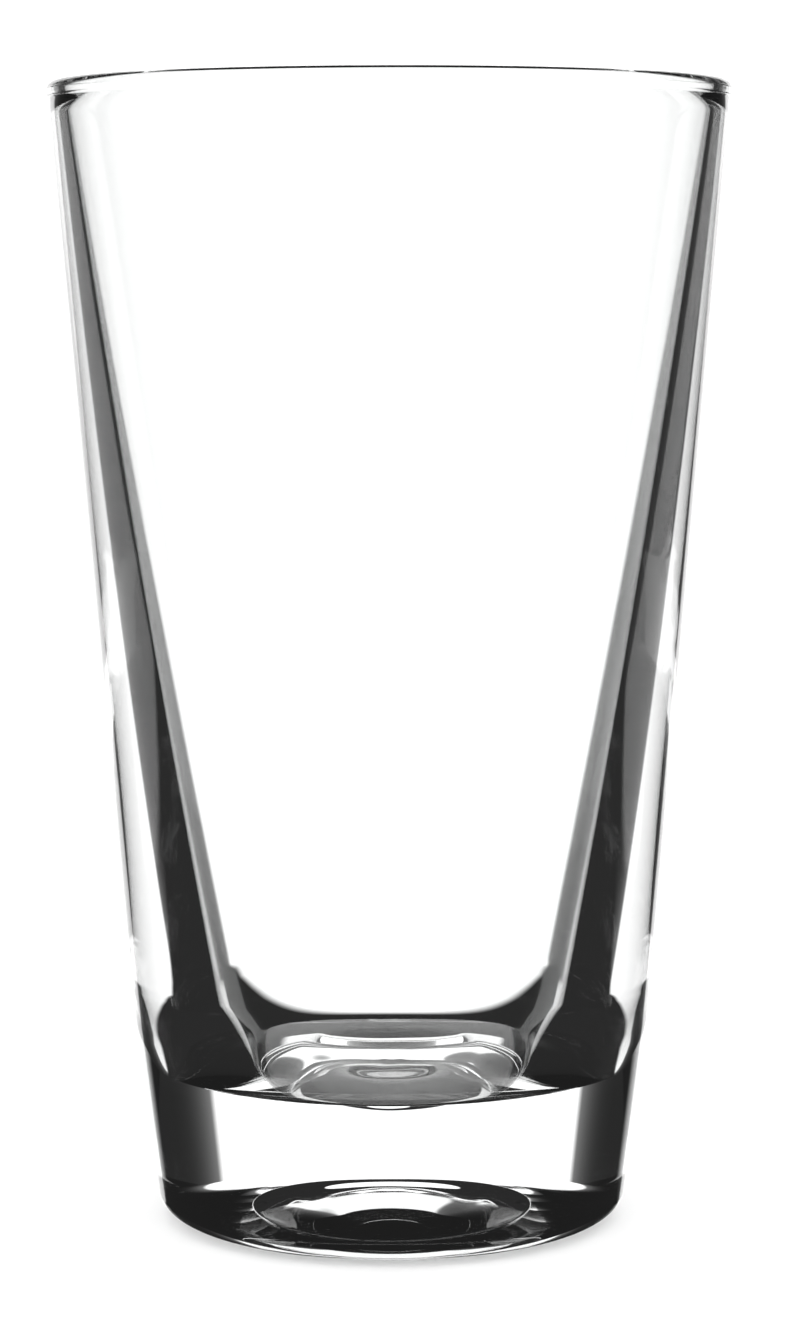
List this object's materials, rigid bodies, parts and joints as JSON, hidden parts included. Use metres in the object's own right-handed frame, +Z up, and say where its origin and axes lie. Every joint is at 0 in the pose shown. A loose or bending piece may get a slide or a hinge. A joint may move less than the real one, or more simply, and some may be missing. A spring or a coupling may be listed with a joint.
{
  "type": "mixing glass",
  "caption": "Clear tapered mixing glass with a heavy solid base, a hollow punt underneath and a rounded rim, used with a metal tin to shake or alone to stir drinks.",
  "frame": {"origin": "centre of the flat ring that the glass rests on", "axes": "+Z up along the axis of the glass, towards the rim; X and Y are equal"},
  "size_m": [0.0888, 0.0888, 0.1492],
  "materials": {
    "clear_glass": "polished clear soda-lime glass"
  },
  "bodies": {
    "root": {"glass_body": "clear_glass"}
  },
  "joints": []
}
